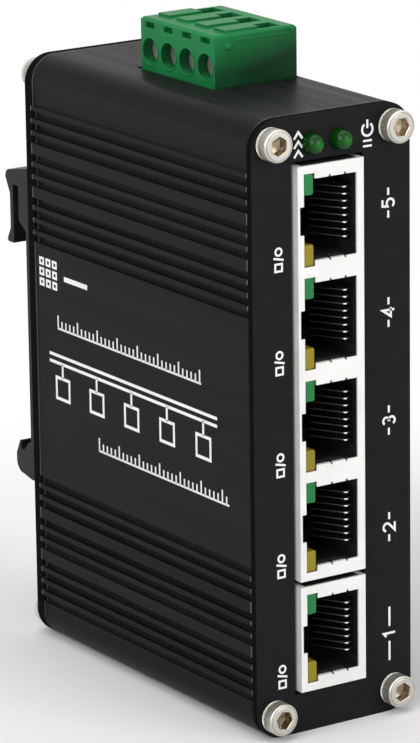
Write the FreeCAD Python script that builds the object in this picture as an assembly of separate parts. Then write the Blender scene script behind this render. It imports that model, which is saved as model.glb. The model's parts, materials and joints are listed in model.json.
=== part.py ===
import FreeCAD, Part
import math
import os
from FreeCAD import Vector

# A five-port network switch that hangs on a 35 mm rail. Its case is two finned aluminium
# extrusions between two flat plates. The board stands on edge inside, with the ports along its
# front edge and a pluggable screw terminal on its top edge.
#
# Millimetres. +X is to the right as seen from the ports, +Y goes back to the rail and +Z is up.
# Z = 0 is the underside, X = 0 is the middle of the case, and Y = 0 is halfway between the
# front screw heads and the back of the rail clip.

# ---- How solids are put together ----
past = 1.0                   # how far a cutting tool runs past the face it opens
weld = 0.3                   # how far a rib or a tab sinks into the wall it grows from
same = 1e-6                  # when two places count as one

# ---- Case ----
case_depth = 63.0
corner_radius = 4.5
front_thickness = 1.2
rear_thickness = 1.5
side_wall = 2.4
top_wall = 1.8
seam_before_board_back = 0.4 # from the seam of the extrusions to the back of the board
lap_width = 1.2
lap_gap = 0.08

# ---- Fins on both sides: grooves in groups, above and below a flat panel ----
fin_groups = 3
grooves_per_group = 3
last_group_count = 4
groove_height = 1.3
groove_pitch = 2.0
land_extra = 1.0             # how much wider the ridge between two groups is
groove_depth = 0.9
upper_fins_drop = 9.15       # first groove's middle below the top of the case
lower_fins_rise = 6.6        # last groove's middle above the underside
panel_recess = 0.2
shoulder_recess = 0.4

# ---- Corner screws ----
screw_inset_x = 3.3
screw_inset_z = 3.55
boss_size = 6.0
screw_diameter = 3.0
screw_length = 10.0
head_diameter = 5.5
head_height = 3.0
hex_width = 2.5
hex_depth = 1.5
thread_gap = 0.05
plate_hole_gap = 0.2

# ---- Ports ----
port_left_margin = 7.5       # from the case's left side to the shields
port_right_margin = 9.2
port_top_margin = 7.45       # from the top shield to the top of the case
port_face_width = 11.9       # across the shield, from the latch side to the board side
port_pitch = 15.75
bank_ports = 4
single_height = 16.6
bank_gap = 0.9
uplink_rise = 6.7
port_proud = 1.07
port_depth = 21.3
shield_sheet = 0.3
cavity_height = 12.8
latch_rim = 1.1
board_rim = 1.3
cavity_depth = 13.0
latch_height = 4.3
latch_notch = 0.7
lamp_width = 1.65
lamp_height = 3.3
lamp_overhang = 0.65         # past the cavity, above and below
lamp_side_gap = 0.35         # to the cavity
lamp_length = 9.0
lamp_set_back = 0.3
lamp_gap = 0.05
lamp_chamfer = 0.15
shield_gap = 0.1
aperture_gap = 0.5

# ---- Sprung contacts in each port ----
contact_count = 8
contact_pitch = 1.08
contact_width = 0.35
contact_thickness = 0.25
contact_bend_from_face = 2.1
contact_reach = 5.0
contact_rise = 3.0
hairpin_width = 1.5
hairpin_nose = 0.55
trough_depth = 0.65
trough_side = 0.4
tail_from_face = 15.2
foot_length = 1.0
foot_room = 0.6
tab_width = 2.35
tab_gap = 0.4
tab_side_gap = 0.15          # to the lamp's window
tab_bulge = 0.2
tab_reach = 2.0
tab_knee = 0.9
tab_end_gap = 0.05
tab_thickness = 0.2
tab_relief = 0.1             # past the cavity, beside each tab

# ---- Status lamps ----
speed_lamp_inset = 3.15      # from the left side of the shields
power_lamp_inset = 8.24
status_lamp_drop = 4.4
dome_diameter = 3.0
dome_hole_gap = 0.1
dome_proud = 2.0
dome_curve = 1.8
lamp_body_length = 4.0
lead_size = 0.5
lead_pitch = 2.54
lead_step = 1.2
first_lead_run = 1.6

# ---- Board ----
board_standoff = 0.2         # from the shields to the face of the board
board_thickness = 1.6
board_margin = 0.3           # from the board's edges to the walls that hold it
rib_width = 1.5
rib_height = 1.7
rib_gap = 0.1

# ---- Plug and header of the power terminal ----
poles = 4
pole_pitch = 5.08
plug_from_front = 23.3
plug_inset = 1.9             # from the left side of the shields
plug_width = 15.0
plug_above_case = 8.44
plug_sunk = 1.5
nose_length = 8.3
nose_width = 6.2
nose_end_gap = 0.6
nose_floor = 0.8
pin_axis_from_board = 4.0
pin_size = 1.0
pin_above_floor = 7.4
pin_tip_gap = 0.4
pin_bend_drop = 1.6
pin_hole_gap = 0.15
header_width = 8.6
header_floor = 3.2
header_fit = 0.2
header_end_wall = 0.8
header_seat_gap = 0.15        # from the header's rim to the plug's shoulder
nose_clearance = 1.1
case_opening_gap = 0.6
plug_chamfer = 0.35

# ---- Inside the plug: a screw lifts a cage that grips the wire against a bar ----
screw_hole_diameter = 4.0
screw_rise = 4.44             # above the plug's shoulder
plug_screw_recess = 1.6
plug_screw_head = 1.4
plug_screw_head_diameter = 3.7
plug_screw_diameter = 2.9
plug_slot_width = 0.7
plug_slot_depth = 0.8
bar_thickness = 0.8
bar_width = 2.6
cage_wall = 1.0
cage_side = 0.6
cage_width = 4.2
cage_length = 5.4
cage_opening = 2.8
cage_travel = 2.4
cage_gap = 0.15
cage_right_wall = 1.2         # of the plug, beside the cage
cage_bar_gap = 0.15
screw_run_gap = 0.08
tile_rise = 0.4
tile_width = 3.1
tile_left_margin = 2.6
tile_entry_land = 0.3
slot_mark_width = 2.5
slot_mark_height = 0.9
slot_mark_depth = 1.0
slot_mark_drop = 1.45
socket_width = 2.4
socket_hole = 1.16
socket_shelf = 0.6

# ---- Rail clip ----
rail_height = 35.0
upper_bite = 1.0
lower_bite = 1.4
clip_inset = 0.3             # from the sides of the case
clip_base = 1.3
clip_below_rail = 4.5
clip_above_rail = 12.0
flange_front = 3.3
hook_groove = 1.7
hook_groove_depth = 9.6
lip_thickness = 0.9
nose_reach = 7.2
nose_radius = 1.4
lip_flare = 6.9
foot_reach = 5.8
hook_wall_rise = 4.0
hook_wall_slope = 1.5
flange_slot = 1.1            # a rail's flange with its play
shelf_slope = 1.1
lower_tip = 0.3
lower_tip_drop = 0.9
foot_start = 0.5
foot_round = 2.0
flare_round = 0.5
flare_rise = 1.8
nose_slope = 1.1
lip_slope = 1.6
clip_screw_margin = 9.5
clip_head_diameter = 5.0
clip_head_height = 1.5
clip_screw_length = 4.5
clip_screw_diameter = 2.5
spring_thickness = 0.35
spring_width = 1.3
spring_span = 24.0
spring_belly = 8.0
spring_rail_gap = 0.6
spring_seat_gap = 0.05

# ---- Parts on the board ----
part_chamfer = 0.4
chip_size = 14.0
chip_thickness = 1.6
chip_leg_span = 16.0
chip_leg_thickness = 0.2
chip_legs_per_side = 12
chip_leg_width = 0.4
chip_from_front = 40.0
chip_rise = 46.0
transformer_width = 9.5
transformer_length = 12.7
transformer_height = 5.0
transformer_from_front = 21.4
coil_size = 10.0
coil_height = 5.0
coil_from_rear = 12.5
coil_rise = 70.0
capacitor_diameter = 8.0
capacitor_height = 11.5
capacitor_rise = 20.0
capacitor_from_rear = 11.5
crystal_length = 11.0
crystal_width = 4.6
crystal_height = 3.4
crystal_rise = 31.0
regulator_width = 6.5
regulator_length = 6.1
regulator_height = 2.3
regulator_rise = 60.0
fuse_length = 6.0
fuse_width = 3.2
fuse_height = 1.6
fuse_rise = 77.5

# ---- Places that follow from the sizes above ----
case_width = port_left_margin + port_face_width + port_right_margin
half_width = case_width / 2
bank_height = single_height + (bank_ports - 1) * port_pitch
bank_rise = uplink_rise + single_height + bank_gap
case_height = bank_rise + bank_height + port_top_margin
front_y = head_height - (head_height + case_depth + nose_reach) / 2
rear_y = front_y + case_depth
extrusion_front = front_y + front_thickness
extrusion_rear = rear_y - rear_thickness
screw_x = half_width - screw_inset_x
screw_heights = (screw_inset_z, case_height - screw_inset_z)

port_left = port_left_margin - half_width
port_right = port_left + port_face_width
speed_lamp_x = port_left + speed_lamp_inset
power_lamp_x = port_left + power_lamp_inset
face_y = front_y - port_proud
cavity_left = port_left + latch_rim
cavity_right = port_right - board_rim
inner_left = cavity_left + lamp_width + lamp_side_gap
window_half = cavity_height / 2 + lamp_overhang
first_tab = inner_left + tab_side_gap
board_x = port_right + board_standoff
board_back = board_x + board_thickness
seam_x = board_back - seam_before_board_back
board_bottom = top_wall + board_margin
board_top = case_height - top_wall - board_margin

plug_left = port_left + plug_inset
plug_right = plug_left + plug_width
plug_front = front_y + plug_from_front
plug_length = poles * pole_pitch
plug_back = plug_front + plug_length
plug_top = case_height + plug_above_case
plug_shoulder = case_height - plug_sunk
nose_bottom = plug_shoulder - nose_length
header_top = plug_shoulder - header_seat_gap
header_floor_top = nose_bottom - nose_clearance
header_bottom = header_floor_top - header_floor
pin_x = board_x - pin_axis_from_board
nose_middle_x = board_x - header_width / 2
screw_z = plug_shoulder + screw_rise
cage_bottom = plug_right - cage_right_wall - cage_gap
bar_right = cage_bottom - cage_wall - cage_opening
bar_left = bar_right - bar_thickness
cage_top = bar_left - cage_bar_gap - cage_wall
pocket_top = cage_top - cage_travel - cage_gap
cage_low = screw_z - cage_length / 2 - cage_gap
entry_left = bar_left - cage_gap
entry_right = cage_bottom - cage_wall + cage_gap

clip_width = case_width - 2 * clip_inset
rail_bottom = (case_height - rail_height) / 2
rail_top = rail_bottom + rail_height
clip_bottom = rail_bottom - clip_below_rail
clip_top = rail_top + clip_above_rail


def box(x0, x1, y0, y1, z0, z1):
    """A block between two corners."""
    return Part.makeBox(x1 - x0, y1 - y0, z1 - z0, Vector(x0, y0, z0))


def rod(radius, start, direction, length):
    """A cylinder from start along direction."""
    return Part.makeCylinder(radius, length, Vector(*start), Vector(*direction))


def fuse_all(solids):
    """One shape from pieces that overlap."""
    return solids[0].fuse(solids[1:]).removeSplitter() if len(solids) > 1 else solids[0]


def rounded_bar(half, radius, z0, z1, y0, y1):
    """A bar along Y with a rounded rectangle for its section, centred on X = 0."""
    bar = box(-half, half, y0, y1, z0, z1)
    corners = [e for e in bar.Edges if abs(e.tangentAt(e.FirstParameter).y) > 1 - same]
    return bar.makeFillet(radius, corners)


def prism(points, direction, length):
    """A straight-sided outline, given as 3D points, carried along direction."""
    outline = Part.makePolygon([Vector(*p) for p in points] + [Vector(*points[0])])
    return Part.Face(outline).extrude(Vector(*direction) * length)


def strip_outline(path, thickness):
    """Both sides of a bent strip of even thickness, mitred at its bends, from its middle line."""
    left, right = [], []
    for i, (u, v) in enumerate(path):
        before = path[max(i - 1, 0)]
        after = path[min(i + 1, len(path) - 1)]
        sides = []
        for (a, b), (c, d) in ((before, (u, v)), ((u, v), after)):
            run = math.hypot(c - a, d - b)
            if run > 0:
                sides.append((-(d - b) / run, (c - a) / run))
        nu = sum(s[0] for s in sides) / len(sides)
        nv = sum(s[1] for s in sides) / len(sides)
        reach = thickness / 2 / (nu * nu + nv * nv)
        left.append((u + nu * reach, v + nv * reach))
        right.append((u - nu * reach, v - nv * reach))
    return left + right[::-1]


# ---- Case ----

def groove_heights():
    """The middles of the grooves, from the top down: an upper set and a lower set."""
    steps = []
    depth = 0.0
    counts = [grooves_per_group] * (fin_groups - 1) + [last_group_count]
    for count in counts:
        for _ in range(count):
            steps.append(depth)
            depth += groove_pitch
        depth += land_extra
    upper = [case_height - upper_fins_drop - s for s in steps]
    lower = [lower_fins_rise + steps[-1] - s for s in steps]
    return upper, lower


def groove_cutter(side, z):
    """One groove along the whole case."""
    half = groove_height / 2
    near, far = sorted((side * (half_width - groove_depth), side * (half_width + past)))
    return box(near, far, extrusion_front, extrusion_rear, z - half, z + half)


def case_tube():
    """Both extrusions as one closed tube, finned on both sides, before the seam parts them."""
    upper, lower = groove_heights()
    ends = (extrusion_front, extrusion_rear)
    shoulder = half_width - shoulder_recess
    tube = rounded_bar(shoulder, corner_radius - shoulder_recess, 0, case_height, *ends)
    ridge = groove_pitch - groove_height
    fins_top = upper[0] + groove_height / 2 + ridge
    fins_bottom = lower[-1] - groove_height / 2
    slabs = []
    cutters = []
    for side in (-1, 1):
        near, far = sorted((side * half_width, side * (half_width - side_wall)))
        slabs.append(box(near, far, *ends, fins_bottom, fins_top))
        near, far = sorted((side * (half_width + past), side * (half_width - panel_recess)))
        panel_top = upper[-1] - groove_height / 2
        panel_bottom = lower[0] + groove_height / 2
        cutters.append(box(near, far, *ends, panel_bottom, panel_top))
        cutters += [groove_cutter(side, z) for z in upper + lower]
    tube = tube.fuse(slabs)
    inside = half_width - side_wall
    tube = tube.cut(box(-inside, inside, *ends, top_wall, case_height - top_wall))
    screw_places = [(x, z) for x in (-screw_x, screw_x) for z in screw_heights]
    half = boss_size / 2
    outside = rounded_bar(shoulder, corner_radius - shoulder_recess, 0, case_height, *ends)
    tube = tube.fuse([box(x - half, x + half, *ends, z - half, z + half).common(outside)
                      for x, z in screw_places])
    hole_radius = screw_diameter / 2 + thread_gap
    cutters += [rod(hole_radius, (x, ends[0], z), (0, 1, 0), ends[1] - ends[0])
                for x, z in screw_places]
    tube = tube.cut(cutters)
    gap = case_opening_gap
    opening = box(plug_left - gap, plug_right + gap, plug_front - gap, plug_back + gap,
                  case_height - top_wall - rib_height - past, case_height + past)
    return tube.cut(opening), opening


def board_ribs(x0, x1):
    """Ribs along the top and bottom walls, between x0 and x1, that hold the board's edges."""
    ends = (extrusion_front, extrusion_rear)
    inner_top = case_height - top_wall
    return [box(x0, x1, *ends, top_wall - weld, top_wall + rib_height),
            box(x0, x1, *ends, inner_top - rib_height, inner_top + weld)]


def seam_laps(grow):
    """The half-thickness tongues of the right extrusion that slide inside the left one."""
    ends = (extrusion_front, extrusion_rear)
    half = top_wall / 2
    left = seam_x - lap_width - grow
    right = seam_x + past
    return [box(left, right, *ends, half - grow, top_wall + grow),
            box(left, right, *ends, case_height - top_wall - grow, case_height - half + grow)]


def side_shell(tube, opening):
    """The left extrusion: the finned side with the top and bottom walls as far as the seam."""
    left = box(-half_width - past, seam_x, extrusion_front, extrusion_rear,
               -past, case_height + past)
    rails = board_ribs(board_x - rib_gap - rib_width, board_x - rib_gap)
    shell = tube.common(left).cut(seam_laps(lap_gap))
    return fuse_all([shell] + [r.cut(opening) for r in rails])


def side_cover(tube, opening):
    """The right extrusion, with its tongues at the seam."""
    right = box(seam_x + lap_gap, half_width + past, extrusion_front, extrusion_rear,
                -past, case_height + past)
    tongues = [tube.common(t) for t in seam_laps(0)]
    rails = board_ribs(board_back + rib_gap, board_back + rib_gap + rib_width)
    cover = tube.common(right)
    return fuse_all([cover] + tongues + [r.cut(opening) for r in rails])


def plate(y0, y1):
    """An end plate with its four screw holes."""
    blank = rounded_bar(half_width, corner_radius, 0, case_height, y0, y1)
    hole = screw_diameter / 2 + plate_hole_gap
    holes = [rod(hole, (x, y0 - past, z), (0, 1, 0), y1 - y0 + 2 * past)
             for x in (-screw_x, screw_x) for z in screw_heights]
    return blank.cut(holes)


def front_plate():
    """The front plate, with one tall window for the ports and two lamp holes."""
    gap = aperture_gap
    window = box(port_left - gap, port_right + gap, front_y - past, extrusion_front + past,
                 uplink_rise - gap, bank_rise + bank_height + gap)
    radius = dome_diameter / 2 + dome_hole_gap
    lamp_z = case_height - status_lamp_drop
    holes = [rod(radius, (x, front_y - past, lamp_z), (0, 1, 0), front_thickness + 2 * past)
             for x in (speed_lamp_x, power_lamp_x)]
    return plate(front_y, extrusion_front).cut([window] + holes)


def clip_screw_places():
    """Where the two screws that hold the rail clip stand, between the hooks."""
    top = rail_top - upper_bite - clip_screw_margin
    return [rail_bottom + clip_screw_margin, top]


def rear_plate():
    """The rear plate, with the threaded holes of the rail clip."""
    holes = [rod(clip_screw_diameter / 2 + thread_gap, (0, extrusion_rear - past, z), (0, 1, 0),
                 rear_thickness + 2 * past) for z in clip_screw_places()]
    return plate(extrusion_rear, rear_y).cut(holes)


def cap_screw(x, z, seat_y, outward):
    """A socket head screw on a plate. outward is -1 at the front and 1 at the back."""
    head = rod(head_diameter / 2, (x, seat_y, z), (0, outward, 0), head_height)
    shank = rod(screw_diameter / 2, (x, seat_y, z), (0, -outward, 0), screw_length)
    corner = hex_width / math.sqrt(3)
    outer = seat_y + outward * head_height
    points = [(x + corner * math.cos(math.radians(60 * k + 30)), outer,
               z + corner * math.sin(math.radians(60 * k + 30))) for k in range(6)]
    socket = prism(points, (0, -outward, 0), hex_depth)
    return head.fuse(shank).removeSplitter().cut(socket)


def corner_screws(seat_y, outward):
    """The four screws of one plate."""
    return Part.makeCompound([cap_screw(x, z, seat_y, outward)
                              for x in (-screw_x, screw_x) for z in screw_heights])


# ---- Rail clip ----

def rail_clip():
    """An extruded bracket: a deep hook over the rail's top edge and a shallow one below it."""
    slot_out = flange_front + hook_groove
    lip_out = slot_out + lip_thickness
    tip = rail_top - upper_bite
    ceiling = tip + hook_groove_depth
    shelf = rail_bottom + lower_bite
    flange_back = flange_front + flange_slot
    nose_bottom_z = clip_top - nose_slope - nose_radius

    def at(y, z):
        return Vector(-clip_width / 2, rear_y + y, z)

    def line(*points):
        return [Part.makeLine(a, b) for a, b in zip(points, points[1:])]

    def quarter(centre, radius, turn):
        """A quarter circle in the section, from turn to turn + 90 degrees."""
        places = [math.radians(turn + step) for step in (0, 45, 90)]
        y, z = centre
        return Part.Arc(*[at(y + radius * math.cos(a), z + radius * math.sin(a))
                          for a in places]).toShape()

    foot_z = clip_bottom + foot_start
    edges = line(at(0, clip_bottom), at(clip_base, clip_bottom), at(foot_reach - foot_round, foot_z))
    edges.append(quarter((foot_reach - foot_round, foot_z + foot_round), foot_round, -90))
    edges += line(at(foot_reach, foot_z + foot_round), at(foot_reach, rail_bottom - lower_tip_drop),
                  at(flange_back + lower_tip, shelf), at(flange_back, shelf),
                  at(flange_back, rail_bottom), at(flange_front, rail_bottom),
                  at(flange_front - shelf_slope, shelf), at(clip_base, shelf),
                  at(clip_base, tip + hook_wall_rise - hook_wall_slope),
                  at(flange_front, tip + hook_wall_rise), at(flange_front, ceiling),
                  at(slot_out, ceiling), at(slot_out, tip), at(lip_flare - flare_round, tip))
    edges.append(quarter((lip_flare - flare_round, tip + flare_round), flare_round, -90))
    edges += line(at(lip_flare, tip + flare_round), at(lip_out, tip + flare_round + flare_rise),
                  at(lip_out, ceiling - lip_slope), at(nose_reach, nose_bottom_z))
    edges.append(quarter((nose_reach - nose_radius, nose_bottom_z), nose_radius, 0))
    edges += line(at(nose_reach - nose_radius, nose_bottom_z + nose_radius), at(0, clip_top),
                  at(0, clip_bottom))
    section = Part.Face(Part.Wire(edges))
    clip = section.extrude(Vector(clip_width, 0, 0))
    holes = [rod(clip_screw_diameter / 2 + plate_hole_gap, (0, rear_y - past, z), (0, 1, 0),
                 clip_base + 2 * past) for z in clip_screw_places()]
    return clip.cut(holes)


def clip_screws():
    """Two pan head screws that hold the clip to the rear plate."""
    screws = []
    for z in clip_screw_places():
        seat = rear_y + clip_base
        head = rod(clip_head_diameter / 2, (0, seat, z), (0, 1, 0), clip_head_height)
        shank = rod(clip_screw_diameter / 2, (0, seat, z), (0, -1, 0), clip_screw_length)
        screws.append(head.fuse(shank).removeSplitter())
    return Part.makeCompound(screws)


def rail_spring():
    """A bent leaf in the upper hook that presses the rail down into the lower one."""
    ceiling = rail_top - upper_bite + hook_groove_depth
    top = ceiling - spring_seat_gap - spring_thickness / 2
    belly = rail_top + spring_rail_gap + spring_thickness / 2
    y0 = rear_y + flange_front + (hook_groove - spring_width) / 2
    half = spring_span / 2
    path = [(-half, top), (-spring_belly / 2, belly), (spring_belly / 2, belly), (half, top)]
    outline = strip_outline(path, spring_thickness)
    return prism([(x, y0, z) for x, z in outline], (0, 1, 0), spring_width)


# ---- Ports ----

def bank_middles():
    """The heights of the middles of the ports in the bank, from the bottom up."""
    first = bank_rise + single_height / 2
    return [first + k * port_pitch for k in range(bank_ports)]


def uplink_middles():
    """The height of the middle of the single port."""
    return [uplink_rise + single_height / 2]


def ground_tabs(z):
    """The four sprung tabs of one port, bent in from the shield's face to touch a plug."""
    half = cavity_height / 2
    inner = half - tab_thickness / 2
    root = face_y + shield_sheet / 2
    tabs = []
    for side in (-1, 1):
        path = [(root, half + shield_sheet), (root, inner),
                (root + tab_knee, inner - tab_bulge), (root + tab_reach, inner - tab_end_gap)]
        outline = strip_outline([(y, z + side * v) for y, v in path], tab_thickness)
        for k in range(2):
            x = first_tab + k * (tab_width + tab_gap)
            tabs.append(prism([(x, y, v) for y, v in outline], (1, 0, 0), tab_width))
    return tabs


def port_shield(rise, height, middles):
    """A folded steel box round one or more ports, open to the board, with its tabs."""
    y1 = face_y + port_depth
    top = rise + height
    sheet = shield_sheet
    shell = box(port_left, port_right, face_y, y1, rise, top)
    shell = shell.cut(box(port_left + sheet, port_right + past, face_y + sheet, y1 - sheet,
                          rise + sheet, top - sheet))
    cuts = []
    for z in middles:
        half = cavity_height / 2
        lip = half - tab_thickness
        slot = half + tab_relief
        cuts.append(box(cavity_left, cavity_right, face_y - past, face_y + sheet + past,
                        z - lip, z + lip))
        cuts.append(box(cavity_left, inner_left, face_y - past, face_y + sheet + past,
                        z - window_half, z + window_half))
        for k in range(2):
            x = first_tab + tab_width + k * (tab_width + tab_gap)
            cuts.append(box(x, x + tab_gap, face_y - past, face_y + sheet + past,
                            z - slot, z + slot))
        cuts.append(box(cavity_left - latch_notch, cavity_left + past, face_y - past,
                        face_y + sheet + past, z - latch_height / 2, z + latch_height / 2))
    tabs = [t for z in middles for t in ground_tabs(z)]
    return fuse_all([shell.cut(cuts)] + tabs)


def port_insert(rise, height, middles):
    """The moulded body inside a shield: a plug cavity, a latch slot and a trough per port."""
    inset = shield_sheet + shield_gap
    y0 = face_y + inset
    mouth = y0 - past
    body = box(port_left + inset, board_x, y0, face_y + port_depth - inset,
               rise + inset, rise + height - inset)
    half = cavity_height / 2
    latch = window_half - lamp_height - lamp_gap
    depth = face_y + cavity_depth
    lamp_end = face_y + lamp_set_back + lamp_length + lamp_gap
    reach = contact_count * contact_pitch / 2 + trough_side
    tail = face_y + tail_from_face
    cuts = []
    for z in middles:
        cuts.append(box(inner_left, cavity_right, mouth, depth, z - half, z + half))
        cuts.append(box(cavity_left - latch_notch, inner_left + past, mouth, depth,
                        z - latch, z + latch))
        for side in (-1, 1):
            low, high = sorted((z + side * latch, z + side * window_half))
            cuts.append(box(cavity_left, inner_left, mouth, lamp_end, low, high))
            low, high = sorted((z + side * latch, z + side * half))
            cuts.append(box(cavity_left, inner_left + past, mouth, lamp_end, low, high))
        cuts.append(box(cavity_right - past, cavity_right + trough_depth, mouth,
                        tail + foot_length, z - reach, z + reach))
        cuts.append(box(cavity_right, board_x + past, tail - 2 * contact_thickness,
                        tail + foot_length + foot_room, z - reach, z + reach))
    return body.cut(cuts)


def port_contacts(middles):
    """Sprung wires: a foot on the board, a run under the cavity and a hairpin back into it."""
    run_x = cavity_right + trough_depth - contact_thickness / 2
    foot_x = board_x - contact_thickness / 2
    tail = face_y + tail_from_face
    bend = face_y + contact_bend_from_face
    back_x = run_x - hairpin_width
    tip_x = back_x - contact_rise
    tip_y = bend + contact_reach
    path = [(foot_x, tail + foot_length), (run_x, tail), (run_x, bend),
            (back_x, bend - hairpin_nose), (tip_x, tip_y)]
    outline = strip_outline(path, contact_thickness)
    wires = []
    for z in middles:
        for k in range(contact_count):
            z0 = z + (k - (contact_count - 1) / 2) * contact_pitch - contact_width / 2
            wires.append(prism([(x, y, z0) for x, y in outline], (0, 0, 1), contact_width))
    return Part.makeCompound(wires)


def port_lamps(side):
    """One lamp block per port, in the upper (1) or lower (-1) corner on the latch side."""
    blocks = []
    for z in uplink_middles() + bank_middles():
        outer = z + side * (window_half - lamp_gap)
        inner = outer - side * (lamp_height - lamp_gap)
        low, high = sorted((outer, inner))
        y0 = face_y + lamp_set_back
        block = box(cavity_left + lamp_gap, cavity_left + lamp_width, y0, y0 + lamp_length,
                    low, high)
        front = [e for e in block.Edges if abs(e.BoundBox.YMax - y0) < same]
        blocks.append(block.makeChamfer(lamp_chamfer, front))
    return Part.makeCompound(blocks)


# ---- Status lamps ----

def status_lamp(x):
    """A lamp with a domed tip that pokes through the front plate."""
    z = case_height - status_lamp_drop
    radius = dome_diameter / 2
    tip = front_y - dome_proud
    centre_y = tip + dome_curve
    rim_y = centre_y - math.sqrt(dome_curve ** 2 - radius ** 2)
    half_turn = math.asin(radius / dome_curve) / 2
    arc = Part.Arc(Vector(x, tip, z),
                   Vector(x, centre_y - dome_curve * math.cos(half_turn),
                          z + dome_curve * math.sin(half_turn)),
                   Vector(x, rim_y, z + radius)).toShape()
    end = extrusion_front + lamp_body_length
    corners = [Vector(x, y, z + r) for y, r in ((rim_y, radius), (end, radius), (end, 0), (tip, 0))]
    edges = [arc] + [Part.makeLine(a, b) for a, b in zip(corners, corners[1:])]
    return Part.Face(Part.Wire(edges)).revolve(Vector(x, 0, z), Vector(0, 1, 0), 360)


def lamp_lead(x, step):
    """A square wire from the back of a lamp, bent over to its pad on the board."""
    z = case_height - status_lamp_drop
    half = lead_size / 2
    back = extrusion_front + lamp_body_length
    turn = back + first_lead_run + step * lead_step
    run = box(x - half, x + half, back, turn + half, z - half, z + half)
    across = box(x - half, board_x, turn - half, turn + half,
                 z - half, z + half)
    return fuse_all([run, across])


def lead_starts():
    """Each lead's X and which turn it takes, so that no two leads meet."""
    half = lead_pitch / 2
    return [(power_lamp_x + half, 0), (power_lamp_x - half, 1),
            (speed_lamp_x + half, 2), (speed_lamp_x - half, 3)]


# ---- Board ----

def pole_middles():
    """The Y of the middle of each pole of the power terminal."""
    return [plug_front + (k + 0.5) * pole_pitch for k in range(poles)]


def main_board():
    """The circuit board, on edge. The header's pins and the lamps' leads end on its pads."""
    return box(board_x, board_back, extrusion_front + board_margin,
               extrusion_rear - board_margin, board_bottom, board_top)


def board_box(y, rise, width_y, width_z, height):
    """A block that stands on the board, centred on a place, with its top edges broken."""
    block = box(board_x - height, board_x, y - width_y / 2, y + width_y / 2,
                rise - width_z / 2, rise + width_z / 2)
    top = [e for e in block.Edges if abs(e.BoundBox.XMax - (board_x - height)) < same]
    return block.makeChamfer(min(part_chamfer, height / 4), top)


def switch_chip():
    """The switch circuit: a flat square package on bent legs."""
    lift = chip_leg_thickness
    y = front_y + chip_from_front
    half = chip_size / 2
    body = box(board_x - lift - chip_thickness, board_x - lift, y - half, y + half,
               chip_rise - half, chip_rise + half)
    legs = []
    span = chip_leg_span / 2
    pitch = chip_size / (chip_legs_per_side + 1)
    for k in range(chip_legs_per_side):
        offset = (k + 1) * pitch - half
        w = chip_leg_width / 2
        legs.append(box(board_x - lift, board_x, y - span, y + span,
                        chip_rise + offset - w, chip_rise + offset + w))
    return fuse_all([body] + legs)


def transformers():
    """The isolating transformers, in a row behind the ports."""
    rows = uplink_middles() + bank_middles()[:-1]
    y = front_y + transformer_from_front + transformer_width / 2
    return Part.makeCompound([board_box(y, z, transformer_width, transformer_length,
                                        transformer_height) for z in rows])


def power_coil():
    """The coil of the supply, moulded into a square block."""
    return board_box(rear_y - coil_from_rear, coil_rise, coil_size, coil_size, coil_height)


def capacitor():
    """The electrolytic capacitor of the supply, which stands on the board."""
    place = (board_x, rear_y - capacitor_from_rear, capacitor_rise)
    return rod(capacitor_diameter / 2, place, (-1, 0, 0), capacitor_height)


# ---- Power terminal ----

def power_header():
    """The header on the board's top edge: an open-topped box that the plug's nose enters."""
    end = nose_end_gap - header_fit
    y0 = plug_front + end - header_end_wall
    y1 = plug_back - end + header_end_wall
    left = board_x - header_width
    body = box(left, board_x, y0, y1, header_bottom, header_top)
    cavity = box(nose_middle_x - nose_width / 2 - header_fit,
                 nose_middle_x + nose_width / 2 + header_fit,
                 plug_front + end, plug_back - end, header_floor_top, header_top + past)
    hole = pin_size / 2 + thread_gap
    holes = [box(pin_x - hole, pin_x + hole, y - hole, y + hole,
                 header_bottom - past, header_floor_top + past) for y in pole_middles()]
    return body.cut([cavity] + holes)


def header_pins():
    """Square pins: up through the header's floor, and across to their pads on the board."""
    half = pin_size / 2
    bend_z = header_bottom - pin_bend_drop
    pins = []
    for y in pole_middles():
        tip = header_floor_top + pin_above_floor
        post = box(pin_x - half, pin_x + half, y - half, y + half, bend_z - half, tip)
        ends = [e for e in post.Edges
                if abs(e.BoundBox.ZMin - tip) < same and abs(e.BoundBox.ZMax - tip) < same]
        post = post.makeChamfer(pin_size / 4, ends)
        leg = box(pin_x - half, board_x, y - half, y + half,
                  bend_z - half, bend_z + half)
        pins.append(fuse_all([post, leg]))
    return Part.makeCompound(pins)


def plug_outside():
    """The plug's moulding before it is hollowed: a clamp block above a narrower nose."""
    deck = plug_top - tile_rise
    block = box(plug_left, plug_right, plug_front, plug_back, plug_shoulder, deck)
    edges = [e for e in block.Edges
             if abs(e.BoundBox.ZMin - deck) < same and abs(e.BoundBox.ZMax - deck) < same]
    block = block.makeChamfer(plug_chamfer, edges)
    half_tile = tile_width / 2
    tiles = [box(plug_left + tile_left_margin, entry_left - tile_entry_land, y - half_tile,
                 y + half_tile, deck - weld, plug_top) for y in pole_middles()]
    nose = box(nose_middle_x - nose_width / 2, nose_middle_x + nose_width / 2,
               plug_front + nose_end_gap, plug_back - nose_end_gap,
               nose_bottom, plug_shoulder + weld)
    return fuse_all([block, nose] + tiles)


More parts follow.
